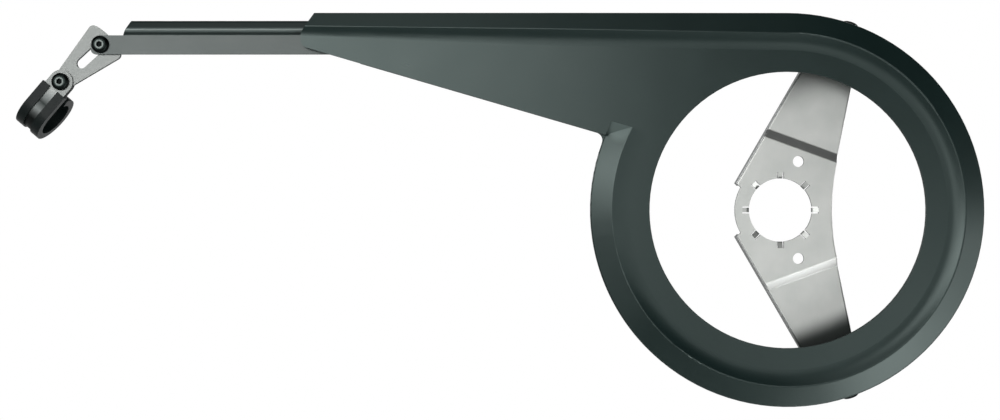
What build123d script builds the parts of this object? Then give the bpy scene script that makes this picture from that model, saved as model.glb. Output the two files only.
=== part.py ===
from build123d import *
import os
from math import asin, atan2, cos, degrees, hypot, radians, sin, sqrt, tan

os.makedirs("parts", exist_ok=True)

# Frame: X forward along the bicycle, Z up, the viewer looks along +Y.
# The origin is on the bottom-bracket axis, in the middle of the bracket's plate. Sizes in millimetres.

# Shell: ring and rim section
wall = 2.4                # moulded wall
hole_radius = 75.0        # crank opening
rim_radius = 107.0        # outside of the rim, and height of the tail's top
face_front = -21.4        # Y of the flat face
rim_back = 4.0            # Y of the rim's open edge
bevel_width = 11.5        # from the ridge out to the rim
band_width = 9.0          # hollow band that climbs to the ridge
ridge_height = 2.5        # ridge above the flat face
bevel_drop = 4.0          # bevel from the ridge back to the rim
rim_round = 1.0           # outer edge of the rim
ridge_round = 1.2         # front of the ridge

# Shell: where the ridge fades out on the left of the ring, in degrees from +X towards +Z
bevel_end_angle = 152.0   # inner end of the bevel, on the tail's face
ramp_run = 8.0            # the bevel's end climbs to the tail's face along the rim
fade_start = 188.0
fade_end = 230.0
fade_steps = 6
ridge_faded = 0.15

# Shell: tail
tail_end_x = -264.0
tail_mid_x = -130.0
tail_end_crease = 7.6     # crease below the top edge, at the tail's end
tail_mid_crease = 9.2
tail_end_band = 5.0
tail_mid_band = 8.8
tail_end_ridge = 1.4
tail_mid_ridge = 2.3
lower_edge_x = -242.4     # a point on the straight lower edge
lower_edge_drop = 24.4    # that point below the tail's top
lower_edge_slope = 0.2915
nose_round = 4.5
end_cut_drop = 11.2       # where the slanted end cut starts, below the tail's top
end_cut_slope = 0.65      # run of the cut for each mm of height
corner_round = 4.0        # hollow corner between the tail and the rim
flange_start_x = -232.0   # return flange under the tail

# Shell: where the chain leaves on the left, the rim is only a lip
exit_lip = 2.4            # behind the face
exit_angle = 238.0        # the full rim starts again here

# Bracket
plate = 2.0
bore_radius = 17.6
disc_radius = 25.4
arm_tilt = 20.0           # arm axis from vertical, towards +X
joggle_start = 35.5       # along the arm axis
joggle_end = 40.2
joggle_depth = 2.5
flange_depth = 8.0        # folded edges, from the plate's front
flange_length = 86.0      # along the arm axis
fold_round = 1.2          # outside of the folded edges
tab_width = 22.0
tab_front = -14.0         # Y of the tabs' free ends
bend_radius = 1.5
fold_start_x = -24.5      # lower end of the left fold
fold_start_z = 15.0
waist_x = 29.0            # right edge at mid height
waist_radius = 126.0
waist_sweep = 12.1        # degrees of the waist's arc, each way
side_hole_radius = 3.1
side_hole_x = 10.0
side_hole_z = 27.0
claw_count = 8
claw_width = 2.6
claw_slit = 0.6
claw_root = 21.2          # radius where a claw leaves the plate
claw_press = 1.2          # how far a claw's tip is pressed back

# M5 button-head screws and nuts
screw_radius = 2.5
head_radius = 4.75
head_height = 2.75
socket_size = 3.0         # hexagon across flats
socket_depth = 1.6
head_dome = 2.0           # rounding of the head
tip_chamfer = 0.5
screw_length = 12.0
nut_size = 8.0            # across flats
nut_height = 4.7
nut_clearance = 0.03
washer_radius = 5.0
washer_height = 1.0
bolt_clearance = 0.2      # radial, in the holes
pivot_clearance = 0.08    # radial, in the holes that turn
rim_screw_angle = 70.0    # from +X, up and down
rim_screw_y = -8.0

# Extension arm
arm_wall = 2.0
arm_web_front = -16.5
arm_drop = 3.7            # arm's top below the tail's top
arm_height = 18.4
arm_web_height = 11.1
tongue_height = 10.3
arm_bead_height = 12.3
arm_bead = 2.2            # bead in front of the web
arm_shoulder = 0.6        # web front to the top edge of the shoulder
arm_flange_back = -4.0
arm_inner_x = -194.0
arm_outer_x = -379.0
arm_shoulder_run = 17.5   # from the outer end to where bead and flange start
arm_shoulder_slope = 0.55
arm_notch_run = 33.0      # from the outer end, flange cut away behind the link
arm_round = 1.4           # hollow corner under the bead
bead_inside = 0.4         # inside rounding of the bead and the shoulder
tongue_round_high = 5.0
tongue_round_low = 2.5
guide_gap = 0.3           # arm to its guides
guide_length = 10.0
guide_places = (33.0, 63.0)  # from the tail's end
guide_lip = 3.2
guide_wall = 2.2

# Link
pivot_inset = 5.2         # pivot screw from the arm's outer end
pivot_height = 5.3        # pivot screw above the arm's lower edge
clip_run = 22.0           # clip screw behind the pivot screw
clip_drop = 20.2          # clip screw below the pivot screw
link_thickness = 2.5
link_gap = 0.1            # arm web to link
link_reach = 36.0         # clip screw to the wide end
link_half_angle = 12.0
link_half_width = 5.0     # at the clip screw
link_round = 3.0
slot_width = 5.5
slot_inner = 15.0         # clip screw to the slot's inner centre

# Stay clip
clip_angle = 229.5        # direction of the band from its screw
band_thickness = 1.0
band_strip = 13.0         # width of the band
ear_gap = 0.05            # ear to link
loop_bore = 10.0
liner_thickness = 2.0
liner_width = 15.4
liner_start = 5.4         # from the clip screw
lip_thickness = 0.9
lip_gap = 5.0             # bare metal between the lips
liner_gap = 0.05
loop_centre = 19.6        # along the band, from the clip screw
liner_end_angle = 205.0

# Values that follow from the sizes above
face_back = face_front + wall
crease_radius = rim_radius - bevel_width
lower_edge_z = rim_radius - lower_edge_drop
end_cut_low = rim_radius - end_cut_drop
arm_high = rim_radius - arm_drop
arm_low = arm_high - arm_height
arm_web_top = arm_low + arm_web_height
tongue_top = arm_low + tongue_height
arm_bead_z = arm_low + arm_bead_height
arm_shoulder_x = arm_outer_x + arm_shoulder_run
arm_notch_x = arm_outer_x + arm_notch_run
pivot_x = arm_outer_x + pivot_inset
pivot_z = arm_low + pivot_height
clip_x = pivot_x - clip_run
clip_z = pivot_z - clip_drop
bb_axis = Axis((0, 0, 0), (0, -1, 0))
arm_web_back = arm_web_front + arm_wall
link_front = arm_web_back + link_gap
link_back = link_front + link_thickness
link_angle = degrees(atan2(clip_drop, clip_run))
slot_outer = hypot(clip_run, clip_drop)


def finish(name, part):
    part.label = name
    export_step(part, f"parts/{name}.step")


def front_plane(y):
    """Sketch plane at depth y: local x is X, local y is Z, and a negative extrude goes towards +Y."""
    return Plane.XZ.offset(-y)


def radial_plane(angle, x=0.0):
    """Sketch plane through the Y direction: local x points out at this angle, local y is Y."""
    out = (cos(radians(angle)), 0, sin(radians(angle)))
    return Plane(origin=(x, 0, 0), x_dir=out, z_dir=(-out[2], 0, out[0]))


def polar(radius, angle):
    return (radius * cos(radians(angle)), radius * sin(radians(angle)))


def lower_edge(x):
    return lower_edge_z - lower_edge_slope * (x - lower_edge_x)


def screw_plane(angle, radius, inwards=False):
    """Plane square to a radius, at this radius and at the rim screws' depth."""
    out = Vector(cos(radians(angle)), 0, sin(radians(angle)))
    return Plane(origin=out * radius + Vector(0, rim_screw_y, 0), z_dir=-out if inwards else out)


def block(x, y, z):
    """Box between two limits in each direction."""
    with Locations(((x[0] + x[1]) / 2, (y[0] + y[1]) / 2, (z[0] + z[1]) / 2)):
        Box(x[1] - x[0], y[1] - y[0], z[1] - z[0])


def arm_guide(x):
    """Hook under the arm's web, rib in front of it, and stop behind the arm's top flange."""
    run = (x - guide_length / 2, x + guide_length / 2)
    floor_top = arm_low - guide_gap
    floor_low = floor_top - guide_wall
    lip_front = arm_web_back + guide_gap
    block(run, (face_back - wall / 2, lip_front + guide_wall), (floor_low, floor_top))
    block(run, (lip_front, lip_front + guide_wall), (floor_low, arm_low + guide_lip))
    block(run, (face_back - wall / 2, arm_web_front - guide_gap), (floor_low, arm_low + guide_lip))
    stop_front = arm_flange_back + guide_gap
    roof = rim_radius - wall / 2
    block(run, (stop_front, stop_front + guide_wall), (arm_high - guide_lip, roof))
    block(run, (arm_flange_back - guide_lip, stop_front), (arm_high + guide_gap, roof))


# Corner where the tail's lower edge meets the rim: the line put into the rim's circle
edge_at_zero = lower_edge(0.0)
line_a = 1 + lower_edge_slope**2
line_b = -2 * lower_edge_slope * edge_at_zero
line_c = edge_at_zero**2 - rim_radius**2
corner_x = (-line_b - sqrt(line_b**2 - 4 * line_a * line_c)) / (2 * line_a)
corner_z = lower_edge(corner_x)
corner_angle = degrees(atan2(corner_z, corner_x))


def rim_section(plane, inner, crease, band, ridge, drop):
    """Wall section of face, hollow band, ridge, bevel and rim, with one wall thickness."""
    tilt = atan2(drop, rim_radius - crease)
    crease_y = face_front - ridge
    edge_y = crease_y + drop
    back_ridge = ridge - wall * (1 / cos(tilt) - 1)
    inside = rim_radius - wall
    inside_y = crease_y + (inside - crease) * tan(tilt) + wall / cos(tilt)

    def band_middle(y, height):
        radius = (band**2 + height**2) / (2 * height)
        return (crease - band / 2, y - radius + sqrt(radius**2 - band**2 / 4))

    with BuildSketch(plane) as section:
        with BuildLine():
            front = [(crease - band, face_front), (crease, crease_y)]
            back = [(crease - band, face_back), (crease, face_back - back_ridge)]
            ThreePointArc(front[0], band_middle(face_front, ridge), front[1])
            Polyline(front[1], (rim_radius, edge_y), (rim_radius, rim_back), (inside, rim_back),
                     (inside, inside_y), back[1])
            ThreePointArc(back[1], band_middle(face_back, back_ridge), back[0])
            if inner < crease - band:
                Polyline(back[0], (inner, face_back), (inner, face_front), front[0])
            else:
                Line(back[0], front[0])
        make_face()
        edge_corner = section.vertices().sort_by_distance((rim_radius, edge_y, 0))[0]
        fillet(edge_corner, radius=rim_round)
        ridge_corner = section.vertices().sort_by_distance((crease, crease_y, 0))[0]
        fillet(ridge_corner, radius=ridge_round)
    return section.sketch


def ring_section(angle, ridge):
    return rim_section(radial_plane(angle), hole_radius, crease_radius, band_width, ridge, bevel_drop)


def tail_section(x, below_top, band, ridge):
    crease = rim_radius - below_top
    drop = bevel_drop * below_top / bevel_width
    return rim_section(radial_plane(90, x), crease - band, crease, band, ridge, drop)


def fade(step):
    """Ridge height on its way from the full ridge to the faded one, level at both ends."""
    share = step / fade_steps
    ease = share * share * (3 - 2 * share)
    return ridge_faded + (ridge_height - ridge_faded) * ease


# Where the rim's bevel ends: a ramp between its edge at the corner and the tail's face
corner = Vector(corner_x, corner_z)
bevel_end = Vector(*polar(crease_radius, bevel_end_angle))
ramp_top = Vector(*polar(rim_radius, corner_angle - degrees(ramp_run / rim_radius)))
bevel_edge_y = face_front - ridge_faded + bevel_drop
ramp_low = Vector(corner_x, bevel_edge_y, corner_z)
ramp_side = Vector(bevel_end.X, face_front, bevel_end.Y) - ramp_low
ramp_rise = Vector(ramp_top.X, face_front, ramp_top.Y) - ramp_low
ramp_plane = Plane(origin=ramp_low, x_dir=ramp_side, z_dir=ramp_side.cross(ramp_rise))
with BuildPart() as bevel_ramp:
    with BuildSketch(front_plane(face_front)):
        with BuildLine():
            Polyline(corner, bevel_end, ramp_top, close=True)
        make_face()
    extrude(amount=-wall - exit_lip)
    split(bisect_by=ramp_plane, keep=Keep.BOTTOM)

# Return flange under the tail
with BuildPart() as tail_flange:
    edge_length = hypot(1, lower_edge_slope)
    inset = (wall * lower_edge_slope / edge_length, wall / edge_length)
    with BuildSketch(front_plane(face_front)):
        with BuildLine():
            Polyline(
                (flange_start_x, lower_edge(flange_start_x)),
                (corner_x, corner_z),
                (corner_x + inset[0], corner_z + inset[1]),
                (flange_start_x + inset[0], lower_edge(flange_start_x) + inset[1]),
                close=True,
            )
        make_face()
    extrude(amount=-wall - exit_lip)

# Shell: ring, tail, face, guides and screw holes
with BuildPart() as guard_shell:
    revolve(ring_section(fade_end, ridge_height), axis=bb_axis, revolution_arc=450 - fade_end)
    fade_angles = [fade_start + (fade_end - fade_start) * k / fade_steps for k in range(fade_steps + 1)]
    loft([ring_section(angle, fade(k)) for k, angle in enumerate(fade_angles)])
    left_arc = fade_start - bevel_end_angle
    revolve(ring_section(bevel_end_angle, ridge_faded), axis=bb_axis, revolution_arc=left_arc)
    loft(
        [
            tail_section(0, bevel_width, band_width, ridge_height),
            tail_section(tail_mid_x, tail_mid_crease, tail_mid_band, tail_mid_ridge),
            tail_section(tail_end_x, tail_end_crease, tail_end_band, tail_end_ridge),
        ],
        ruled=True,
    )
    with BuildSketch(front_plane(face_front)) as tail_face:
        with BuildLine():
            tail_tip = (tail_end_x, lower_edge(tail_end_x))
            hole_start = polar(hole_radius, bevel_end_angle)
            Polyline(
                (0, hole_radius),
                (0, crease_radius - band_width),
                (tail_mid_x, rim_radius - tail_mid_crease - tail_mid_band),
                (tail_end_x, rim_radius - tail_end_crease - tail_end_band),
                tail_tip,
                corner,
                ramp_top,
                bevel_end,
                hole_start,
            )
            ThreePointArc(hole_start, polar(hole_radius, (bevel_end_angle + 90) / 2), (0, hole_radius))
        make_face()
        fillet(tail_face.vertices().sort_by_distance((*tail_tip, 0))[0], radius=nose_round)
    extrude(amount=-wall)
    add(tail_flange.part)
    add(bevel_ramp.part)
    with BuildSketch(front_plane(face_front - rim_radius)):
        with BuildLine():
            cut_top = rim_radius + wall
            Polyline(
                (tail_end_x, end_cut_low),
                (tail_end_x + end_cut_slope * (cut_top - end_cut_low), cut_top),
                (tail_end_x - wall, cut_top),
                (tail_end_x - wall, end_cut_low),
                close=True,
            )
        make_face()
    extrude(amount=-2 * rim_radius, mode=Mode.SUBTRACT)
    with BuildSketch(front_plane(bevel_edge_y)):
        tail_way = Vector(-1, lower_edge_slope).normalized()
        rim_way = Vector(*polar(1, corner_angle + 90))
        half_turn = radians(tail_way.get_angle(rim_way)) / 2
        outwards = (tail_way + rim_way).normalized()
        reach = corner_round / tan(half_turn)
        on_tail = corner + tail_way * reach
        on_rim = Vector(*polar(rim_radius, corner_angle + degrees(reach / rim_radius)))
        hollow = corner + outwards * (corner_round / sin(half_turn) - corner_round)
        sunk = outwards * (wall / 2)
        with BuildLine():
            ThreePointArc(on_tail, hollow, on_rim)
            Polyline(on_rim, on_rim - sunk, corner - sunk, on_tail - sunk, on_tail)
        make_face()
    extrude(amount=bevel_edge_y - face_back - exit_lip)
    with BuildSketch(front_plane(face_back + exit_lip)):
        with BuildLine():
            clear_of_rim = rim_radius + wall
            exit_top = polar(clear_of_rim, bevel_end_angle)
            exit_low = polar(clear_of_rim, exit_angle)
            Line((0, 0), exit_top)
            ThreePointArc(exit_top, polar(clear_of_rim, (bevel_end_angle + exit_angle) / 2), exit_low)
            Line(exit_low, (0, 0))
        make_face()
    extrude(amount=-rim_radius, mode=Mode.SUBTRACT)
    for place in guide_places:
        arm_guide(tail_end_x + place)
    for angle in (rim_screw_angle, -rim_screw_angle):
        with BuildSketch(screw_plane(angle, rim_radius - 2 * wall)):
            Circle(screw_radius + bolt_clearance)
        extrude(amount=3 * wall, mode=Mode.SUBTRACT)
finish("guard_shell", guard_shell.part)

# Bracket, upper half: outline, joggle and folded edges
arm_axis_angle = 90 - arm_tilt
tab_outer = sqrt((rim_radius - wall) ** 2 - (tab_width / 2) ** 2)
tab_inner = tab_outer - plate
plate_front = -plate / 2
arm_front = plate_front + joggle_depth
beyond = 2 * rim_radius


def along_arm(along, across):
    """Point in X and Z from a place along the upper arm's axis and to its right."""
    out = polar(along, arm_axis_angle)
    side = polar(across, arm_axis_angle - 90)
    return (out[0] + side[0], out[1] + side[1])


def waist_point(angle, inset=0.0):
    """Point on the arc of the bracket's waist, moved inwards by inset."""
    side = polar(waist_radius + inset, angle)
    return (waist_x + waist_radius - side[0], side[1])


def right_edge(inset):
    """The bracket's right edge from mid height to the tab, moved inwards by inset."""
    ends = [waist_point(angle, inset) for angle in (0, waist_sweep / 2, waist_sweep)]
    ThreePointArc(*ends)
    tab_corner = along_arm(tab_inner, tab_width / 2 - inset)
    Line(ends[-1], tab_corner)
    return tab_corner


def halfway(start, end):
    return ((start[0] + end[0]) / 2, (start[1] + end[1]) / 2)


def joggle_line(y):
    """Side view of one face of the plate: level, joggle, level."""
    FilletPolyline(
        (-beyond, y),
        (joggle_start, y),
        (joggle_end, y + joggle_depth),
        (beyond, y + joggle_depth),
        radius=plate,
    )


def behind_plate(y, back):
    """Space between a face of the plate at depth y and a back plane, seen from the side."""
    with BuildSketch(side_view) as space:
        with BuildLine():
            joggle_line(y)
            Polyline((beyond, y + joggle_depth), (beyond, back), (-beyond, back), (-beyond, y))
        make_face()
    return space.sketch


fold_back = plate_front + flange_depth
side_view = radial_plane(arm_axis_angle)

with BuildPart() as fold_pocket:
    extrude(behind_plate(plate / 2, fold_back + plate), amount=beyond, both=True)
    with BuildSketch(front_plane(plate_front)):
        fold_end = along_arm(tab_inner, -tab_width / 2)
        fold_run = hypot(fold_end[0] - fold_start_x, fold_end[1] - fold_start_z)
        fold_way = ((fold_end[0] - fold_start_x) / fold_run, (fold_end[1] - fold_start_z) / fold_run)
        inset_start = (fold_start_x + plate * fold_way[1], fold_start_z - plate * fold_way[0])
        low_run = inset_start[1] / fold_way[1]
        with BuildLine():
            tab_corner = right_edge(plate)
            far_corner = (inset_start[0] + fold_run * fold_way[0], inset_start[1] + fold_run * fold_way[1])
            low_corner = (inset_start[0] - low_run * fold_way[0], 0)
            Polyline(tab_corner, far_corner, low_corner, (waist_x - plate, 0))
        make_face()
    extrude(amount=-2 * flange_depth, mode=Mode.INTERSECT)

with BuildPart() as bracket:
    extrude(behind_plate(plate_front, fold_back), amount=beyond, both=True)
    with BuildSketch(front_plane(plate_front)):
        notch_angle = 180 - degrees(atan2(fold_start_z - plate / 2, -fold_start_x))
        with BuildLine():
            tab_corner = right_edge(0)
            notch = polar(disc_radius, notch_angle)
            Polyline(tab_corner, fold_end, (fold_start_x, fold_start_z), notch)
            ThreePointArc(notch, polar(disc_radius, (180 + notch_angle) / 2), (-disc_radius, 0))
            Line((-disc_radius, 0), (waist_x, 0))
        make_face()
    extrude(amount=-flange_depth, mode=Mode.INTERSECT)
    add(fold_pocket.part, mode=Mode.SUBTRACT)
    left_middle = halfway(along_arm(joggle_end, -tab_width), fold_end)
    right_middle = halfway(along_arm(joggle_end, tab_width), tab_corner)
    for fold in (left_middle, right_middle):
        front_edges = bracket.edges().filter_by(lambda edge: edge.center().Y < arm_front + fold_round)
        fillet(front_edges.sort_by_distance((fold[0], arm_front, fold[1]))[0], radius=fold_round)
    with BuildSketch(side_view):
        with Locations((flange_length, arm_front + plate)):
            Rectangle(beyond, beyond, align=(Align.MIN, Align.MIN))
    extrude(amount=beyond, both=True, mode=Mode.SUBTRACT)
    with BuildSketch(side_view) as tab_view:
        with BuildLine():
            Polyline(
                (flange_length, arm_front),
                (tab_inner, arm_front),
                (tab_inner, tab_front),
                (tab_outer, tab_front),
                (tab_outer, arm_front + plate),
                (flange_length, arm_front + plate),
                close=True,
            )
        make_face()
        corners = tab_view.vertices()
        fillet(corners.sort_by_distance((tab_inner, arm_front, 0))[0], radius=bend_radius)
        corners = tab_view.vertices()
        fillet(corners.sort_by_distance((tab_outer, arm_front + plate, 0))[0], radius=bend_radius + plate)
    extrude(amount=tab_width / 2, both=True)
    with BuildSketch(screw_plane(arm_axis_angle, tab_inner - plate)):
        Circle(screw_radius + bolt_clearance)
    extrude(amount=3 * plate, mode=Mode.SUBTRACT)
    mirror(about=Plane.XY)
    with BuildSketch(front_plane(plate_front)):
        Circle(bore_radius)
        with Locations((side_hole_x, side_hole_z), (side_hole_x, -side_hole_z)):
            Circle(side_hole_radius)
        with PolarLocations(bore_radius, claw_count):
            for side in (-1, 1):
                with Locations((0, side * (claw_width + claw_slit) / 2)):
                    Rectangle(2 * (claw_root - bore_radius), claw_slit)
    extrude(amount=-plate, mode=Mode.SUBTRACT)
    for k in range(claw_count):
        claw_plane = radial_plane(360 / claw_count * k)
        with BuildSketch(claw_plane):
            with BuildLine():
                Polyline(
                    (claw_root, plate_front),
                    (bore_radius, plate_front + claw_press),
                    (bore_radius, plate_front),
                    close=True,
                )
            make_face()
        extrude(amount=claw_width / 2, both=True, mode=Mode.SUBTRACT)
        with BuildSketch(claw_plane):
            with BuildLine():
                Polyline(
                    (claw_root, plate / 2),
                    (bore_radius, plate / 2 + claw_press),
                    (bore_radius, plate / 2),
                    close=True,
                )
            make_face()
        extrude(amount=claw_width / 2, both=True)
finish("bracket", bracket.part)

# Extension arm: web, bead and top flange, with a flat tongue at the outer end
with BuildPart() as extension_arm:
    with BuildSketch(radial_plane(90, arm_inner_x)):
        with BuildLine():
            FilletPolyline(
                (arm_low, arm_web_front),
                (arm_web_top, arm_web_front),
                (arm_bead_z, arm_web_front - arm_bead),
                (arm_high, arm_web_front + arm_shoulder),
                (arm_high, arm_flange_back),
                radius=(arm_round, arm_wall + bead_inside, arm_wall + bead_inside),
            )
            offset(amount=arm_wall, side=Side.LEFT)
        make_face()
    extrude(amount=arm_inner_x - arm_outer_x)
    with BuildSketch(front_plane(arm_web_front - arm_bead)):
        with BuildLine():
            cut_top = arm_high + arm_wall
            Polyline(
                (arm_shoulder_x, tongue_top),
                (arm_shoulder_x + arm_shoulder_slope * (cut_top - tongue_top), cut_top),
                (arm_outer_x - arm_wall, cut_top),
                (arm_outer_x - arm_wall, tongue_top),
                close=True,
            )
        make_face()
        with Locations((pivot_x, pivot_z)):
            Circle(screw_radius + pivot_clearance)
    extrude(amount=-rim_radius, mode=Mode.SUBTRACT)
    with BuildSketch(front_plane(arm_web_back)):
        with Locations((arm_notch_x, tongue_top)):
            Rectangle(arm_notch_x - arm_outer_x, arm_high, align=(Align.MAX, Align.MIN))
    extrude(amount=-rim_radius, mode=Mode.SUBTRACT)
    upright = extension_arm.edges().filter_by(Axis.Y)
    fillet(upright.sort_by_distance((arm_outer_x, arm_web_front, tongue_top))[0], radius=tongue_round_high)
    upright = extension_arm.edges().filter_by(Axis.Y)
    fillet(upright.sort_by_distance((arm_outer_x, arm_web_front, arm_low))[0], radius=tongue_round_low)
finish("extension_arm", extension_arm.part)

# Link plate: a fan with a slot along its axis, narrow at the clip screw
link_out = (cos(radians(link_angle)), 0, sin(radians(link_angle)))
link_plane = Plane(origin=(clip_x, link_front, clip_z), x_dir=link_out, z_dir=(0, -1, 0))
fan_slope = sin(radians(link_half_angle))
fan_start = link_half_width * fan_slope
fan_run = sqrt(fan_start**2 + link_reach**2 - link_half_width**2) - fan_start
fan_corner = (fan_run * cos(radians(link_half_angle)), link_half_width + fan_run * fan_slope)
with BuildPart() as link_plate:
    with BuildSketch(link_plane) as fan:
        with BuildLine():
            Line((0, link_half_width), fan_corner)
            ThreePointArc(fan_corner, (link_reach, 0), (fan_corner[0], -fan_corner[1]))
            Line((fan_corner[0], -fan_corner[1]), (0, -link_half_width))
            ThreePointArc((0, -link_half_width), (-link_half_width, 0), (0, link_half_width))
        make_face()
        fillet(fan.vertices().group_by(Axis.X)[-1], radius=link_round)
        Circle(screw_radius + pivot_clearance, mode=Mode.SUBTRACT)
        with Locations(((slot_inner + slot_outer) / 2, 0)):
            SlotCenterToCenter(slot_outer - slot_inner, slot_width, mode=Mode.SUBTRACT)
    extrude(amount=-link_thickness)
finish("link_plate", link_plate.part)

# Stay clip: band with two ears, and its rubber liner
band_out = (cos(radians(clip_angle)), 0, sin(radians(clip_angle)))
clip_plane = Plane(origin=(clip_x, 0, clip_z), x_dir=band_out, z_dir=(-band_out[2], 0, band_out[0]))
ear_radius = band_strip / 2
ear_front = link_front - ear_gap - band_thickness
back_ear_front = link_back + ear_gap
ear_back = back_ear_front + band_thickness
band_inside = loop_bore + liner_thickness
band_outside = band_inside + band_thickness
loop_y = ear_front + band_outside
band_middle = band_inside + band_thickness / 2
band_end_angle = 180 + degrees(asin((loop_y - back_ear_front - band_thickness / 2) / band_middle))
band_end = (
    loop_centre + band_middle * cos(radians(band_end_angle)),
    loop_y + band_middle * sin(radians(band_end_angle)),
)


def loop_ribbon(start, inside, outside, end_angle):
    """Side view of a layer of the clip: straight from start, then round the loop to end_angle."""
    centre = (loop_centre, loop_y)
    with BuildSketch(clip_plane) as ribbon:
        with BuildLine():
            Line((start, loop_y - outside), (loop_centre, loop_y - outside))
            outer = CenterArc(centre, outside, -90, end_angle + 90)
            inner = CenterArc(centre, inside, -90, end_angle + 90)
            Line(outer @ 1, inner @ 1)
            Line(inner @ 0, (start, loop_y - inside))
            Line((start, loop_y - inside), (start, loop_y - outside))
        make_face()
    return ribbon.sketch


with BuildPart() as clip_band:
    loop = loop_ribbon(-ear_radius, band_inside, band_outside, band_end_angle)
    extrude(loop, amount=band_strip / 2, both=True)
    with BuildSketch(clip_plane):
        with Locations((-ear_radius, back_ear_front)):
            Rectangle(ear_radius + band_end[0], band_thickness, align=(Align.MIN, Align.MIN))
        with Locations(band_end):
            Circle(band_thickness / 2)
    extrude(amount=band_strip / 2, both=True)
    ear_corners = clip_band.edges().filter_by(Axis.Y).group_by(Axis((clip_x, 0, clip_z), band_out))[0]
    fillet(ear_corners, radius=ear_radius - ear_gap)
    with BuildSketch(front_plane(ear_front)):
        with Locations((clip_x, clip_z)):
            Circle(screw_radius + bolt_clearance)
    extrude(amount=ear_front - ear_back, mode=Mode.SUBTRACT)
finish("clip_band", clip_band.part)

with BuildPart() as clip_liner:
    lip_outside = band_outside + liner_gap + lip_thickness
    liner = loop_ribbon(liner_start, loop_bore, lip_outside, liner_end_angle)
    extrude(liner, amount=liner_width / 2, both=True)
    past_end = liner_end_angle + (band_end_angle - liner_end_angle) / 2
    band_room = loop_ribbon(0, band_inside - liner_gap, band_outside + liner_gap, past_end)
    extrude(band_room, amount=band_strip / 2 + liner_gap, both=True, mode=Mode.SUBTRACT)
    strip_room = loop_ribbon(0, band_inside, lip_outside + lip_thickness, past_end)
    extrude(strip_room, amount=lip_gap / 2, both=True, mode=Mode.SUBTRACT)
finish("clip_liner", clip_liner.part)


def button_screw(name, seat):
    """M5 button-head screw: the head stands on the seat plane, the shank goes the other way."""
    with BuildPart(seat) as screw:
        Cylinder(head_radius, head_height, align=(Align.CENTER, Align.CENTER, Align.MIN))
        head_top = screw.faces().sort_by(Axis(seat.origin, seat.z_dir))[-1]
        fillet(head_top.edges(), radius=head_dome)
        with BuildSketch(seat.offset(head_height)):
            RegularPolygon(socket_size / 2, 6, major_radius=False)
        extrude(amount=-socket_depth, mode=Mode.SUBTRACT)
        Cylinder(screw_radius, screw_length, align=(Align.CENTER, Align.CENTER, Align.MAX))
        tip = screw.faces().sort_by(Axis(seat.origin, seat.z_dir))[0]
        chamfer(tip.edges(), length=tip_chamfer)
    finish(name, screw.part)


def hex_nut(name, seat):
    """M5 nut that stands on the seat plane."""
    with BuildPart(seat) as nut:
        with BuildSketch(seat):
            RegularPolygon(nut_size / 2, 6, major_radius=False)
            Circle(screw_radius + nut_clearance, mode=Mode.SUBTRACT)
        extrude(amount=nut_height)
    finish(name, nut.part)


for where, angle in (("upper", rim_screw_angle), ("lower", -rim_screw_angle)):
    button_screw(f"rim_screw_{where}", screw_plane(angle, rim_radius))
    hex_nut(f"rim_nut_{where}", screw_plane(angle, tab_inner, inwards=True))

forward = (0, -1, 0)
backward = (0, 1, 0)
button_screw("pivot_screw", Plane(origin=(pivot_x, arm_web_front, pivot_z), z_dir=forward))
washer_front = link_back + ear_gap
with BuildPart() as pivot_washer:
    with BuildSketch(front_plane(washer_front)):
        with Locations((pivot_x, pivot_z)):
            Circle(washer_radius)
            Circle(screw_radius + bolt_clearance, mode=Mode.SUBTRACT)
    extrude(amount=-washer_height)
finish("pivot_washer", pivot_washer.part)
hex_nut("pivot_nut", Plane(origin=(pivot_x, washer_front + washer_height, pivot_z), z_dir=backward))
button_screw("clip_screw", Plane(origin=(clip_x, ear_front, clip_z), z_dir=forward))
hex_nut("clip_nut", Plane(origin=(clip_x, ear_back, clip_z), z_dir=backward))
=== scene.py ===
# %% [markdown]
# A bicycle chain guard is a black moulded ring and tail that keep trousers off the chain. A stamped
# steel bracket holds it under the bottom-bracket cup, and a sliding arm with a rubber-lined clip holds
# its far end on the stay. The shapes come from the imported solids, so this lesson is about finish and
# light: what each surface is made of, and what a studio has to show it.

# %% Load the solids
from math import cos, pi, radians, sin, tan

import bpy
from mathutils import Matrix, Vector


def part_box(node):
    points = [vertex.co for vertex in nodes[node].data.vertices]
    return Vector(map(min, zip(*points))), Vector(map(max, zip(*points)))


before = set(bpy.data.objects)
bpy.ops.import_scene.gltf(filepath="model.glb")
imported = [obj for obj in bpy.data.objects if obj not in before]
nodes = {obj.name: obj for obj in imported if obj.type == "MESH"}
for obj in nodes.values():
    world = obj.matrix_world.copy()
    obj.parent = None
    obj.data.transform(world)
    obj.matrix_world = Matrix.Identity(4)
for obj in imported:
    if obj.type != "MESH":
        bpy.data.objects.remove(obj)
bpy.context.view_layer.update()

print("nodes", sorted(nodes))

# %% [markdown]
# The photograph looks square at the guard's face, from the height of the bottom bracket, with a normal
# lens. The camera could be aimed by hand, but the solids' own origin is the bottom-bracket axis, so its
# place is two distances from there: how far behind the axis along the bicycle, and how far out. The
# Standard view keeps a colour about as it is written.

# %% Camera
camera_behind = 0.1560
camera_out = 0.7734
camera_data = bpy.data.cameras.new("photo_camera")
camera_data.lens = 50.0
camera_data.sensor_width = 36.0
camera = bpy.data.objects.new("photo_camera", camera_data)
camera.location = (-camera_behind, -camera_out, 0.0)
camera.rotation_euler = (pi / 2, 0.0, 0.0)
bpy.context.scene.collection.objects.link(camera)
bpy.context.scene.camera = camera
bpy.context.scene.view_settings.view_transform = "Standard"
print("camera at", tuple(round(value, 4) for value in camera.location))

# %% [markdown]
# Every finish below is a small node tree. Nodes could be set and linked one socket to a line, but then the
# wiring hides the finish. So one function sets and links any node's sockets, and another adds a node that
# way. A socket goes by its name, or by its number where a node has several of one name, as a Mix node has
# for its colours.

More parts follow.
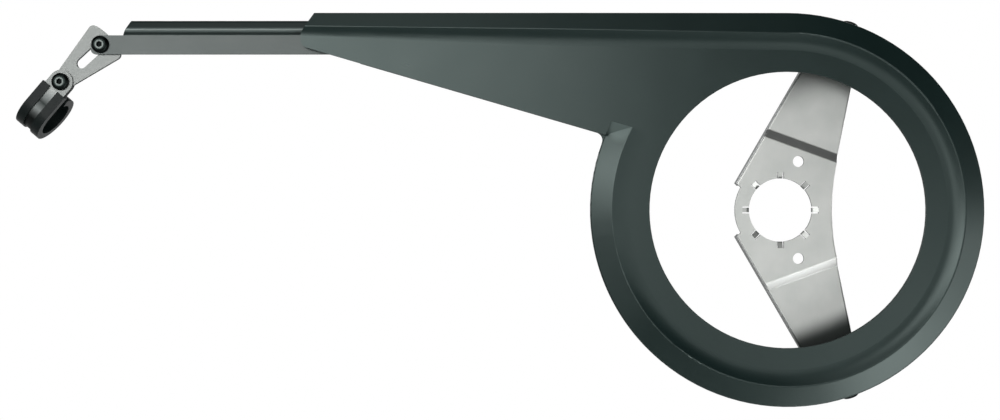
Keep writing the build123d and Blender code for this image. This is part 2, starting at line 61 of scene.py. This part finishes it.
# %% Nodes with their settings and links
mix_share, mix_under, mix_over = 0, 6, 7
mix_result = 2


def wire(tree, node, settings, links):
    """Set and link a node's inputs by name or number. A setting may also be one of its properties."""
    for key, value in settings.items():
        if isinstance(key, int) or key in node.inputs:
            node.inputs[key].default_value = value
        else:
            setattr(node, key, value)
    for key, source in links.items():
        tree.links.new(source, node.inputs[key])


def add(tree, kind, settings, links):
    """Add a node of any kind with its settings and links."""
    made = tree.nodes.new(kind)
    wire(tree, made, settings, links)
    return made


# %% [markdown]
# A painter reads a colour in sRGB hex, but light is added up in linear values, so one function turns the
# first into the second. Coordinates are in metres and patterns are thought of in millimetres, so another
# turns a real size into a pattern's scale. The last two start a named finish and put it on its nodes.

# %% Helpers for finishes
def linear(hex_colour):
    values = [int(hex_colour[place:place + 2], 16) / 255 for place in (1, 3, 5)]
    return [v / 12.92 if v <= 0.04045 else ((v + 0.055) / 1.055) ** 2.4 for v in values] + [1.0]


def per_mm(size_mm):
    return 1000.0 / size_mm


def start_finish(name):
    """A new material, its tree, its surface shader and the place of each point on the object."""
    finish = bpy.data.materials.new(name)
    finish.use_nodes = True
    tree = finish.node_tree
    place = add(tree, "ShaderNodeTexCoord", {}, {}).outputs["Object"]
    return finish, tree, tree.nodes["Principled BSDF"], place


def dress(finish, *names):
    for name in names:
        nodes[name].data.materials.clear()
        nodes[name].data.materials.append(finish)
    print(finish.name, "on", names)


print("half grey #808080 is", round(linear("#808080")[0], 3), "in linear light")

# %% [markdown]
# Moulded and stamped pieces look different on their faces and on their edges: a mould drags along the
# walls, and a die shears the rim of a sheet, whose faces that look sideways are painted darker as painted
# shade. Which is which could be painted by hand, but the guard is flat and faces the viewer, so the depth
# part of the surface's direction tells it. Without its sign, that is a flatness: 1 on a face and 0 on an
# edge.

# %% Faces and edges
def facing_depth(tree):
    """The depth part of the surface's direction: -1 on front faces, 1 on back faces and 0 on edges."""
    direction = add(tree, "ShaderNodeTexCoord", {}, {}).outputs["Normal"]
    return add(tree, "ShaderNodeSeparateXYZ", {}, {"Vector": direction}).outputs["Y"]


# %% [markdown]
# The ring, tail and arm are injection-moulded, and the mould leaves two reliefs on them. Its faces are
# finely eroded, with a grain of about a quarter of a millimetre, which is too fine to show here and is
# drawn about three times as coarse. Cooling leaves a long, very shallow waviness in a flat wall, and that
# keeps the big face from looking like glass. Both could be modelled, but they are far thinner than the
# wall, so they are bumps, with the grain on top of the waves.

# %% Relief of the mould
grain_mm = 0.8
wave_mm = 45.0


def moulded_relief(tree, place):
    """The grain of the mould on the waves that cooling leaves."""
    grain = add(tree, "ShaderNodeTexNoise", {"Scale": per_mm(grain_mm), "Detail": 2.0}, {"Vector": place})
    wave = add(tree, "ShaderNodeTexNoise", {"Scale": per_mm(wave_mm), "Detail": 1.0}, {"Vector": place})
    sink = add(tree, "ShaderNodeBump", {"Strength": 0.06, "Distance": 0.002},
               {"Height": wave.outputs["Fac"]})
    skin = add(tree, "ShaderNodeBump", {"Strength": 0.05, "Distance": 0.0001},
               {"Height": grain.outputs["Fac"], "Normal": sink.outputs["Normal"]})
    return skin.outputs["Normal"]


print("mould grain", grain_mm, "mm, waves", wave_mm, "mm")

# %% [markdown]
# The mouldings are polypropylene, coloured black in the pellet. The eroded skin is satin: it takes broad,
# soft-edged reflections, and the colour itself is nearly black with a cool green cast. The walls that
# slide along the mould as the part leaves it come out dull, so faces that look sideways are rougher. Two
# mouldings share this finish, so a function makes it and leaves a place for each one's own painted light.

# %% Satin black polypropylene
cloud_mm = 18.0
dull_wall = 0.75
wall_flatness = 0.1
face_flatness = 0.4


def polypropylene(name, gloss_tint, painted_light_colour):
    """The satin skin of a black moulding. The last value is the input that takes the share of the painted
    light.
    """
    finish, tree, surface, place = start_finish(name)
    depth = facing_depth(tree)
    flatness = add(tree, "ShaderNodeMath", {"operation": "ABSOLUTE"}, {0: depth})
    cloud = add(tree, "ShaderNodeTexNoise", {"Scale": per_mm(cloud_mm), "Detail": 3.0}, {"Vector": place})
    satin = add(tree, "ShaderNodeMapRange", {"To Min": 0.26, "To Max": 0.32},
                {"Value": cloud.outputs["Fac"]})
    rough = add(tree, "ShaderNodeMapRange",
                {"From Min": wall_flatness, "From Max": face_flatness, "To Min": dull_wall},
                {"Value": flatness.outputs["Value"], "To Max": satin.outputs["Result"]})
    shade = add(tree, "ShaderNodeValToRGB", {}, {"Fac": cloud.outputs["Fac"]})
    shade.color_ramp.elements[0].color = linear("#0e1a19")
    shade.color_ramp.elements[1].color = linear("#111f1e")
    # The paler colour mixed in here is painted light.
    painted_light_mix = add(tree, "ShaderNodeMix", {"data_type": "RGBA", mix_over: linear(painted_light_colour)},
                 {mix_under: shade.outputs["Color"]})
    wire(tree, surface, {"IOR": 1.49, "Specular Tint": linear(gloss_tint)},
         {"Base Color": painted_light_mix.outputs[mix_result], "Roughness": rough.outputs["Result"],
          "Normal": moulded_relief(tree, place)})
    return finish, tree, place, depth, painted_light_mix.inputs[mix_share]


# %% [markdown]
# Where the rim's bevel runs out on the tail, the colour is painted paler in a soft round spot about the
# bevel's end: painted light that lifts the shade there. It is kept to the faces that slope there.

# %% Ring and tail
bevel_end_turn = radians(153.7)
bevel_end_radius = 0.101
bevel_end_out = 0.020
bevel_end = (bevel_end_radius * cos(bevel_end_turn), -bevel_end_out, bevel_end_radius * sin(bevel_end_turn))
painted_light_core = 0.004
painted_light_reach = 0.0095
slope_depth = -0.80
slope_spread = 0.16
shell, tree, place, depth, painted_light_share = polypropylene("satin_black_polypropylene", "#ebfffa", "#4a5553")
# A soft round spot about the bevel's end is painted paler: painted light.
away = add(tree, "ShaderNodeVectorMath", {"operation": "DISTANCE", 1: bevel_end}, {0: place})
painted_light_falloff = add(tree, "ShaderNodeMapRange",
           {"interpolation_type": "SMOOTHSTEP", "From Min": painted_light_reach, "From Max": painted_light_core},
           {"Value": away.outputs["Value"]})
sloping = add(tree, "ShaderNodeMath", {"operation": "COMPARE", 1: slope_depth, 2: slope_spread}, {0: depth})
painted_light_spot = add(tree, "ShaderNodeMath", {"operation": "MULTIPLY"},
                {0: painted_light_falloff.outputs["Result"], 1: sloping.outputs["Value"]})
tree.links.new(painted_light_spot.outputs["Value"], painted_light_share)
dress(shell, "guard_shell")

# %% [markdown]
# The arm slides in the tail's guides, and a pale line is painted along its bead: a painted highlight where
# the round bead catches light. The line is placed by its distance from the arm's top edge. It fades to
# both sides, and only faces that look out have it.

# %% Sliding arm
highlight_drop = 0.0053
highlight_half_width = 0.0017
side_depth = -0.1
front_depth = -0.3
arm_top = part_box("extension_arm")[1].z
arm, tree, place, depth, painted_light_share = polypropylene("black_polypropylene_painted_highlight", "#f7fffc", "#5f6967")
# A pale line along the bead is painted on: painted highlight.
height = add(tree, "ShaderNodeSeparateXYZ", {}, {"Vector": place}).outputs["Z"]
from_line = add(tree, "ShaderNodeMath", {"operation": "SUBTRACT", 1: arm_top - highlight_drop}, {0: height})
beside = add(tree, "ShaderNodeMath", {"operation": "ABSOLUTE"}, {0: from_line.outputs["Value"]})
highlight_falloff = add(tree, "ShaderNodeMapRange",
             {"interpolation_type": "SMOOTHSTEP", "From Min": highlight_half_width, "From Max": 0.0},
             {"Value": beside.outputs["Value"]})
outside = add(tree, "ShaderNodeMapRange", {"From Min": side_depth, "From Max": front_depth},
              {"Value": depth})
painted_highlight_line = add(tree, "ShaderNodeMath", {"operation": "MULTIPLY"},
                  {0: highlight_falloff.outputs["Result"], 1: outside.outputs["Result"]})
tree.links.new(painted_highlight_line.outputs["Value"], painted_light_share)
dress(arm, "extension_arm")

# %% [markdown]
# The bracket is stamped from cold-rolled sheet steel and zinc plated. Plating follows the rolled
# surface, so the grey is even and silky, with a fine grain along the sheet and faint clouds where the
# bath worked unevenly. The grain is really a few hundredths of a millimetre wide: it is drawn ten times
# as coarse. Zinc is a metal, so its colour is the colour of its reflection.

# %% Zinc-plated sheet steel
rolled_mm = (0.5, 0.5, 14.0)
bath_mm = 16.0
zinc, tree, surface, place = start_finish("zinc_plated_sheet_steel")
rolled = add(tree, "ShaderNodeMapping", {"Scale": [per_mm(size) for size in rolled_mm]}, {"Vector": place})
lines = add(tree, "ShaderNodeTexNoise", {"Scale": 1.0, "Detail": 2.0}, {"Vector": rolled.outputs["Vector"]})
clouds = add(tree, "ShaderNodeTexNoise", {"Scale": per_mm(bath_mm), "Detail": 4.0}, {"Vector": place})
shade = add(tree, "ShaderNodeValToRGB", {}, {"Fac": clouds.outputs["Fac"]})
shade.color_ramp.elements[0].position = 0.3
shade.color_ramp.elements[0].color = linear("#b4b7b4")
shade.color_ramp.elements[1].position = 0.7
shade.color_ramp.elements[1].color = linear("#bfc1be")
rough = add(tree, "ShaderNodeMapRange", {"To Min": 0.36, "To Max": 0.50}, {"Value": lines.outputs["Fac"]})
skin = add(tree, "ShaderNodeBump", {"Strength": 0.08, "Distance": 0.00005}, {"Height": lines.outputs["Fac"]})
wire(tree, surface, {"Metallic": 1.0},
     {"Roughness": rough.outputs["Result"], "Normal": skin.outputs["Normal"]})
dress(zinc, "bracket", "rim_nut_upper", "rim_nut_lower", "pivot_nut", "pivot_washer", "clip_nut")

# %% [markdown]
# The faces of a sheet that look sideways, its cut edges and folded flanges, are painted darker: painted
# shade.
# The strip parts further on get it too, so a function paints it. The sloping faces of the bracket's folds
# are
# painted brighter than the sheet: a painted highlight where the folds and joggles catch light.

# %% Painted shade on sideways faces and painted highlight on folds
sheet_flatness = 0.94
fold_flatness = 0.80


def paint_side_shade(tree, flatness, plain, side_shade_colour, dark, clean):
    """Paint shade on a sheet's sideways faces, fully up to a flatness of dark and not at all from clean on.
    """
    edge = add(tree, "ShaderNodeMapRange",
               {"From Min": dark, "From Max": clean, "To Min": 1.0, "To Max": 0.0}, {"Value": flatness})
    side_shaded = add(tree, "ShaderNodeMix", {"data_type": "RGBA", mix_over: linear(side_shade_colour)},
                  {mix_share: edge.outputs["Result"], mix_under: plain})
    return side_shaded.outputs[mix_result]


flatness = add(tree, "ShaderNodeMath", {"operation": "ABSOLUTE"}, {0: facing_depth(tree)}).outputs["Value"]
# The sloping faces of the folds are painted brighter: painted highlight.
slope = add(tree, "ShaderNodeMapRange", {"From Min": sheet_flatness, "From Max": fold_flatness},
            {"Value": flatness})
painted_fold_highlight = add(tree, "ShaderNodeMix", {"data_type": "RGBA", mix_over: linear("#f6f7f6")},
                {mix_share: slope.outputs["Result"], mix_under: shade.outputs["Color"]})
# Faces that look sideways are painted darker: painted shade.
side_shaded = paint_side_shade(tree, flatness, painted_fold_highlight.outputs[mix_result], "#4a4f4d", dark=0.15, clean=0.55)
print("burnished below a flatness of", sheet_flatness)

# %% [markdown]
# The ends of the bracket's arms are painted darker: painted shade where the ring in front keeps light off
# them. It could be placed by height alone, but the shade's front slants across each arm, so it is measured
# along one slanting direction from the axis: where it starts, where it is full, and how much it hides there.

# %% Painted shade on the bracket's arms
shade_way = (-0.4, 0.0, 1.0)
shade_ends = ((-0.066, -0.081, 0.95), (0.047, 0.073, 0.65))
# Painted shade on the arms' ends, where the ring keeps light off them.
slant = add(tree, "ShaderNodeVectorMath", {"operation": "DOT_PRODUCT", 1: shade_way}, {0: place})
ring_shade = add(tree, "ShaderNodeMath", {"operation": "ADD"}, {})
for arm_end, (starts, full, hides) in enumerate(shade_ends):
    spread = add(tree, "ShaderNodeMapRange",
                 {"interpolation_type": "SMOOTHSTEP", "From Min": starts, "From Max": full, "To Max": hides},
                 {"Value": slant.outputs["Value"]})
    tree.links.new(spread.outputs["Result"], ring_shade.inputs[arm_end])
ring_shaded = add(tree, "ShaderNodeMix", {"data_type": "RGBA", mix_over: linear("#3a3f3d")},
            {mix_share: ring_shade.outputs["Value"], mix_under: side_shaded})
wire(tree, surface, {}, {"Base Color": ring_shaded.outputs[mix_result]})
print("painted ring shade on", len(shade_ends), "ends of", zinc.name)

# %% [markdown]
# The slotted link and the clip's band are plated too, but passivated darker and left duller, as small
# strip parts often are. A separate finish keeps them from flashing where the big face beside them is
# only grey. Their faces that look sideways are painted darker: painted shade.

# %% Passivated zinc strip
speck_mm = 1.5
strip, tree, surface, place = start_finish("passivated_zinc_strip")
specks = add(tree, "ShaderNodeTexNoise", {"Scale": per_mm(speck_mm), "Detail": 3.0}, {"Vector": place})
shade = add(tree, "ShaderNodeValToRGB", {}, {"Fac": specks.outputs["Fac"]})
shade.color_ramp.elements[0].color = linear("#828583")
shade.color_ramp.elements[1].color = linear("#898c8a")
rough = add(tree, "ShaderNodeMapRange", {"To Min": 0.48, "To Max": 0.56}, {"Value": specks.outputs["Fac"]})
flatness = add(tree, "ShaderNodeMath", {"operation": "ABSOLUTE"}, {0: facing_depth(tree)}).outputs["Value"]
# The strip's faces that look sideways are painted darker too: painted shade.
side_shaded = paint_side_shade(tree, flatness, shade.outputs["Color"], "#2c302f", dark=0.25, clean=0.75)
wire(tree, surface, {"Metallic": 1.0}, {"Roughness": rough.outputs["Result"]})
dress(strip, "link_plate", "clip_band")

# %% [markdown]
# Between the liner's lips the clip's band is painted in light and dark stripes: painted shade where the lips
# shade it and where it turns away, and a painted highlight where its bend catches light. They could be a
# finish for the band alone, but the link lies on the other side of the clip's screw, so a distance measured
# from that screw towards the liner keeps them off the link, and both keep one finish.

# %% Painted light and shade on the clip's band
liner_from_screw = 0.0054
painted_band_fade = 0.0008
painted_band_length = 0.020
painted_light_stripes = ((0.28, "#6f7372"), (0.48, "#303433"), (0.70, "#6a6e6d"))
screw_low, screw_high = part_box("clip_screw")
liner_low, liner_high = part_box("clip_liner")
clip_screw_place = (screw_low + screw_high) / 2
band_way = (liner_low + liner_high) / 2 - clip_screw_place
band_way.y = 0.0
band_way.normalize()
liner_start = band_way.dot(clip_screw_place) + liner_from_screw
# Stripes of painted light and shade, from where the liner begins.
along = add(tree, "ShaderNodeVectorMath", {"operation": "DOT_PRODUCT", 1: band_way}, {0: place})
between_lips = add(tree, "ShaderNodeMapRange", {"From Min": liner_start, "From Max": liner_start + painted_band_fade},
             {"Value": along.outputs["Value"]})
reach = add(tree, "ShaderNodeMapRange", {"From Min": liner_start, "From Max": liner_start + painted_band_length},
            {"Value": along.outputs["Value"]})
band_light_and_shade = add(tree, "ShaderNodeValToRGB", {}, {"Fac": reach.outputs["Result"]})
band_light_and_shade.color_ramp.elements[0].color = linear("#9a9d9b")
band_light_and_shade.color_ramp.elements[1].color = linear("#222625")
for share, colour in painted_light_stripes:
    band_light_and_shade.color_ramp.elements.new(share).color = linear(colour)
band_painted_light = add(tree, "ShaderNodeMix", {"data_type": "RGBA"},
                {mix_share: between_lips.outputs["Result"], mix_under: side_shaded,
                 mix_over: band_light_and_shade.outputs["Color"]})
wire(tree, surface, {}, {"Base Color": band_painted_light.outputs[mix_result]})
print("tarnish along", tuple(round(value, 3) for value in band_way))

# %% [markdown]
# The clip's liner is black EPDM rubber, moulded in a strip and bent round the band. Rubber scatters what
# it reflects, so it stays dull and even, with only a broad sheen on its round lips.

# %% Black rubber
bloom_mm = 3.0
rubber, tree, surface, place = start_finish("black_epdm_rubber")
bloom = add(tree, "ShaderNodeTexNoise", {"Scale": per_mm(bloom_mm), "Detail": 4.0}, {"Vector": place})
shade = add(tree, "ShaderNodeValToRGB", {}, {"Fac": bloom.outputs["Fac"]})
shade.color_ramp.elements[0].color = linear("#0d1413")
shade.color_ramp.elements[1].color = linear("#131b1a")
rough = add(tree, "ShaderNodeMapRange", {"To Min": 0.38, "To Max": 0.46}, {"Value": bloom.outputs["Fac"]})
skin = add(tree, "ShaderNodeBump", {"Strength": 0.10, "Distance": 0.0001}, {"Height": bloom.outputs["Fac"]})
wire(tree, surface, {"IOR": 1.5, "Specular IOR Level": 0.16},
     {"Base Color": shade.outputs["Color"], "Roughness": rough.outputs["Result"],
      "Normal": skin.outputs["Normal"]})
dress(rubber, "clip_liner")

# %% [markdown]
# The button-head screws are black zinc-plated steel, and what marks them goes round: wear with a painted
# highlight about the socket, painted shade in it, and the thread on the shank. It could be painted on each
# screw, but two measures serve all four: how high a point is along the screw's axis, and how far it is from
# that axis.

# %% Along and around a screw
def screw_measures(tree, place, axis, centre):
    """The height of a point along a screw's axis, and its distance from that axis."""
    along = add(tree, "ShaderNodeVectorMath", {"operation": "DOT_PRODUCT", 1: axis}, {0: place})
    from_centre = add(tree, "ShaderNodeVectorMath", {"operation": "SUBTRACT", 1: centre}, {0: place})
    across = add(tree, "ShaderNodeVectorMath", {"operation": "CROSS_PRODUCT", 1: axis},
                 {0: from_centre.outputs["Vector"]})
    from_axis = add(tree, "ShaderNodeVectorMath", {"operation": "LENGTH"}, {0: across.outputs["Vector"]})
    return along.outputs["Value"], from_axis.outputs["Value"]


# %% [markdown]
# The key has rubbed the edge of each socket back to bare metal, and the flat top there catches light, so
# that thin bright ring around a dark hole is what the eye finds first. It is painted brighter, partly wear
# and partly a painted highlight, and the hole is painted near black as painted shade. It could be a separate
# ring of metal,
# but it is paint, so a mask makes it: near the screw's axis, and at the head's top.

# %% Worn sockets with painted highlight and shade
socket_radius = 0.0015
wear_and_sheen_radius = 0.0022
wear_and_sheen_radius_end = 0.0025
wear_and_sheen_depth = 0.0001
wear_and_sheen_depth_end = 0.0004


# A ring painted brighter, partly wear and partly painted highlight, and a socket painted near black as
# painted shade.
def socket_wear_and_sheen(tree, height, radius, top):
    """The colour of black plating, with a ring of wear and painted highlight around a socket in painted
    shade.
    """
    near = add(tree, "ShaderNodeMapRange", {"From Min": wear_and_sheen_radius_end, "From Max": wear_and_sheen_radius},
               {"Value": radius})
    high = add(tree, "ShaderNodeMapRange", {"From Min": top - wear_and_sheen_depth_end, "From Max": top - wear_and_sheen_depth},
               {"Value": height})
    wear_and_sheen = add(tree, "ShaderNodeMath", {"operation": "MULTIPLY"},
               {0: near.outputs["Result"], 1: high.outputs["Result"]})
    shade = add(tree, "ShaderNodeValToRGB", {}, {"Fac": wear_and_sheen.outputs["Value"]})
    shade.color_ramp.elements[0].color = linear("#1a1f1e")
    shade.color_ramp.elements[1].color = linear("#4d5250")
    open_socket = add(tree, "ShaderNodeMath", {"operation": "LESS_THAN", 1: socket_radius}, {0: radius})
    socket_painted_shade = add(tree, "ShaderNodeMix", {"data_type": "RGBA", mix_over: linear("#080a0a")},
                {mix_share: open_socket.outputs["Value"], mix_under: shade.outputs["Color"]})
    return socket_painted_shade.outputs[mix_result]


print("worn and highlighted ring", round(1000 * (wear_and_sheen_radius - socket_radius), 2), "mm wide")

# %% [markdown]
# Below the head is an M5 thread, with a pitch of 0.8 mm. It could be cut as a helix, but so fine a thread
# is seen only as lines across the shank, so the solid's shank is smooth and the finish draws the lines as
# a wave along the axis.

# %% Thread lines
head_height = 0.00275
thread_pitch_mm = 0.8
thread_depth = 0.0002


def thread_lines(tree, height, top):
    """Ridges across the shank, as far apart as the thread's turns."""
    turns = add(tree, "ShaderNodeMath", {"operation": "MULTIPLY", 1: 2 * pi * per_mm(thread_pitch_mm)},
                {0: height})
    ridge = add(tree, "ShaderNodeMath", {"operation": "SINE"}, {0: turns.outputs["Value"]})
    below = add(tree, "ShaderNodeMath", {"operation": "LESS_THAN", 1: top - head_height}, {0: height})
    thread = add(tree, "ShaderNodeMath", {"operation": "MULTIPLY"},
                 {0: ridge.outputs["Value"], 1: below.outputs["Value"]})
    skin = add(tree, "ShaderNodeBump", {"Strength": 0.8, "Distance": thread_depth},
               {"Height": thread.outputs["Value"]})
    return skin.outputs["Normal"]


print("thread", thread_pitch_mm, "mm from turn to turn")

# %% [markdown]
# Each screw's finish takes its top and its middle from the screw's own points. The pivot and clip screws
# look out at the viewer. The two in the rim stand like spokes, so their direction is worked out from
# where they sit.

# %% Black zinc-plated screws
front = Vector((0.0, -1.0, 0.0))


def screw_finish(name, axis):
    """Black plating with a worn socket, painted highlight and shade about it, and a thread."""
    finish, tree, surface, place = start_finish("black_zinc_" + name)
    points = [vertex.co for vertex in nodes[name].data.vertices]
    top = max(axis.dot(point) for point in points)
    centre = sum(points, Vector()) / len(points)
    height, radius = screw_measures(tree, place, axis, centre)
    wire(tree, surface, {"Metallic": 1.0, "Roughness": 0.34},
         {"Base Color": socket_wear_and_sheen(tree, height, radius, top), "Normal": thread_lines(tree, height, top)})
    return finish


for name in ("pivot_screw", "clip_screw"):
    dress(screw_finish(name, front), name)
for name in ("rim_screw_upper", "rim_screw_lower"):
    low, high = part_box(name)
    middle = (low + high) / 2
    outwards = Vector((middle.x, 0.0, middle.z)).normalized()
    dress(screw_finish(name, outwards), name)

# %% [markdown]
# The floor and the studio around it are pale, but their paleness mustn't light the object. More lamps
# would, so both ask instead what a ray is for. The camera's own rays, and those that gloss or glass sends
# on, see the studio. All others only gather light, and to them it is dim.

# %% Rays that see the studio
def seen_rays(tree):
    """One for camera, glossy and transmission rays and nothing for others, and one for camera rays alone."""
    ray = add(tree, "ShaderNodeLightPath", {}, {}).outputs
    camera_or_glossy = add(tree, "ShaderNodeMath", {"operation": "ADD"},
                           {0: ray["Is Camera Ray"], 1: ray["Is Glossy Ray"]})
    seen = add(tree, "ShaderNodeMath", {"operation": "ADD", "use_clamp": True},
               {0: camera_or_glossy.outputs["Value"], 1: ray["Is Transmission Ray"]})
    return seen.outputs["Value"], ray["Is Camera Ray"]


# %% [markdown]
# The object hangs clear of a plain floor, as parts are hung for a catalogue. The floor's pale paint glows
# a little in reflections and more for the camera, so it stays pale from every side and keeps its shadows.

# %% Floor
floor_depth = 1.0
floor_half = 2.4
floor_glow = 0.08
floor_white = 0.75
fleck_mm = 300.0
paint, tree, surface, place = start_finish("pale_painted_floor")
fleck = add(tree, "ShaderNodeTexNoise", {"Scale": per_mm(fleck_mm), "Detail": 2.0}, {"Vector": place})
shade = add(tree, "ShaderNodeValToRGB", {}, {"Fac": fleck.outputs["Fac"]})
shade.color_ramp.elements[0].color = linear("#d6d7d6")
shade.color_ramp.elements[1].color = linear("#dcdddc")
seen, by_camera = seen_rays(tree)
glow = add(tree, "ShaderNodeMath", {"operation": "MULTIPLY", 1: floor_glow}, {0: seen})
paler = add(tree, "ShaderNodeMath", {"operation": "MULTIPLY_ADD", 1: floor_white},
            {0: by_camera, 2: glow.outputs["Value"]})
wire(tree, surface, {"Roughness": 0.8},
     {"Base Color": shade.outputs["Color"], "Emission Color": shade.outputs["Color"],
      "Emission Strength": paler.outputs["Value"]})

sides = ((-1, -1), (1, -1), (1, 1), (-1, 1))
corners = [(floor_half * x, floor_half * y, -floor_depth) for x, y in sides]
floor_mesh = bpy.data.meshes.new("studio_floor")
floor_mesh.from_pydata(corners, [], [(0, 1, 2, 3)])
floor_mesh.materials.append(paint)
floor = bpy.data.objects.new("studio_floor", floor_mesh)
bpy.context.scene.collection.objects.link(floor)
print(paint.name, floor_depth, "m below the axis")

# %% [markdown]
# Around the floor is a white studio. The camera sees it white all round. Reflections see it too, but with
# a dark ceiling and a dim front wall, as a photographer hangs black cloth there to keep black plastic
# black. All other rays get only a little even light, so the white is a background and not a lamp.

# %% White studio
ambient = 0.12
ceiling_light = 0.06
ceiling_starts, ceiling_full = 0.16, 0.42
front_light = 0.22
front_full, front_ends = -0.15, 0.25
world = bpy.data.worlds.new("white_studio")
bpy.context.scene.world = world
world.use_nodes = True
tree = world.node_tree
even = tree.nodes["Background"]
wire(tree, even, {"Color": (ambient, ambient, ambient, 1.0)}, {})
direction = add(tree, "ShaderNodeTexCoord", {}, {}).outputs["Generated"]
way = add(tree, "ShaderNodeSeparateXYZ", {}, {"Vector": direction})
ceiling = add(tree, "ShaderNodeMapRange",
              {"interpolation_type": "SMOOTHSTEP", "From Min": ceiling_starts, "From Max": ceiling_full,
               "To Min": 1.0, "To Max": ceiling_light}, {"Value": way.outputs["Z"]})
front_wall = add(tree, "ShaderNodeMapRange",
                 {"interpolation_type": "SMOOTHSTEP", "From Min": front_full, "From Max": front_ends,
                  "To Min": front_light, "To Max": 1.0}, {"Value": way.outputs["Y"]})
mirrored = add(tree, "ShaderNodeMath", {"operation": "MULTIPLY"},
               {0: ceiling.outputs["Result"], 1: front_wall.outputs["Result"]})
seen, by_camera = seen_rays(tree)
white = add(tree, "ShaderNodeMath", {"operation": "MAXIMUM"}, {0: mirrored.outputs["Value"], 1: by_camera})
horizon = add(tree, "ShaderNodeBackground", {"Color": (1.0, 1.0, 1.0, 1.0)},
              {"Strength": white.outputs["Value"]})
choice = add(tree, "ShaderNodeMixShader", {},
             {"Fac": seen, 1: even.outputs["Background"], 2: horizon.outputs["Background"]})
wire(tree, tree.nodes["World Output"], {}, {"Surface": choice.outputs["Shader"]})
print(world.name, "with an even light of", ambient)

# %% [markdown]
# Black plastic is seen by what it reflects, so the lamps are placed by looking along reflections from
# the object's middle. A lamp is a panel between two turns to the left or right of straight out and two
# heights above or below level, in degrees, with the brightness of its face, and its power follows from
# those. Three panels side by side left of the camera are what the tail's flat face mirrors, brightest at
# the far end. The right half of the ring mirrors dimmer panels, a low softbox on the right draws the
# bright stretch on the lower right bevel, and a small one lower still lights the joggle of the bracket's
# lower arm. The panels above are dim or steep, which leaves the upper bevel dark. Behind are two panels
# for the guard's inside.

# %% Lamps
lamps_about = Vector((-0.10, 0.0, 0.03))


def softbox(name, left, right, low, high, brightness, reach=1.5):
    turn = radians((left + right) / 2)
    rise = radians((low + high) / 2)
    data = bpy.data.lights.new(name, "AREA")
    data.shape = "RECTANGLE"
    data.size = 2 * reach * cos(rise) * tan(radians(right - left) / 2)
    data.size_y = 2 * reach * tan(radians(high - low) / 2)
    data.energy = brightness * pi * data.size * data.size_y
    lamp = bpy.data.objects.new(name, data)
    away = Vector((cos(rise) * sin(turn), -cos(rise) * cos(turn), sin(rise)))
    lamp.location = lamps_about + reach * away
    lamp.rotation_euler = (-away).to_track_quat("-Z", "Y").to_euler()
    lamp.visible_camera = False
    bpy.context.scene.collection.objects.link(lamp)
    print(name, "power", round(data.energy, 2), "W")


softbox("key_left", -37, -20, 0, 18, 7.3)
softbox("key_middle", -20, -8, 0, 18, 5.4)
softbox("key_front", -8, 4, 0, 18, 3.7)
softbox("side_left", -52, -37, -18, 18, 0.95)
softbox("low_left", -46, -28, -28, -14, 0.85)
softbox("front_low", -8, 4, -16, 0, 2.0)
softbox("front_right", 4, 16, -15, 0, 0.6)
softbox("fill_right", 16, 30, -18, 0, 2.1)
softbox("side_right", 48, 72, -20, -2, 2.6)
softbox("front_high", -12, 12, 18, 44, 1.0)
softbox("low_right", 36, 60, -46, -18, 5.3, reach=1.2)
softbox("under_front", 28, 50, -62, -51, 6.0, reach=1.1)
softbox("high_left", -45, -3, 36, 66, 0.75)
softbox("top", -30, 30, 68, 88, 2.1)
softbox("back_left", 120, 160, 0, 35, 3.0)
softbox("back_right", 200, 240, 0, 35, 3.0)
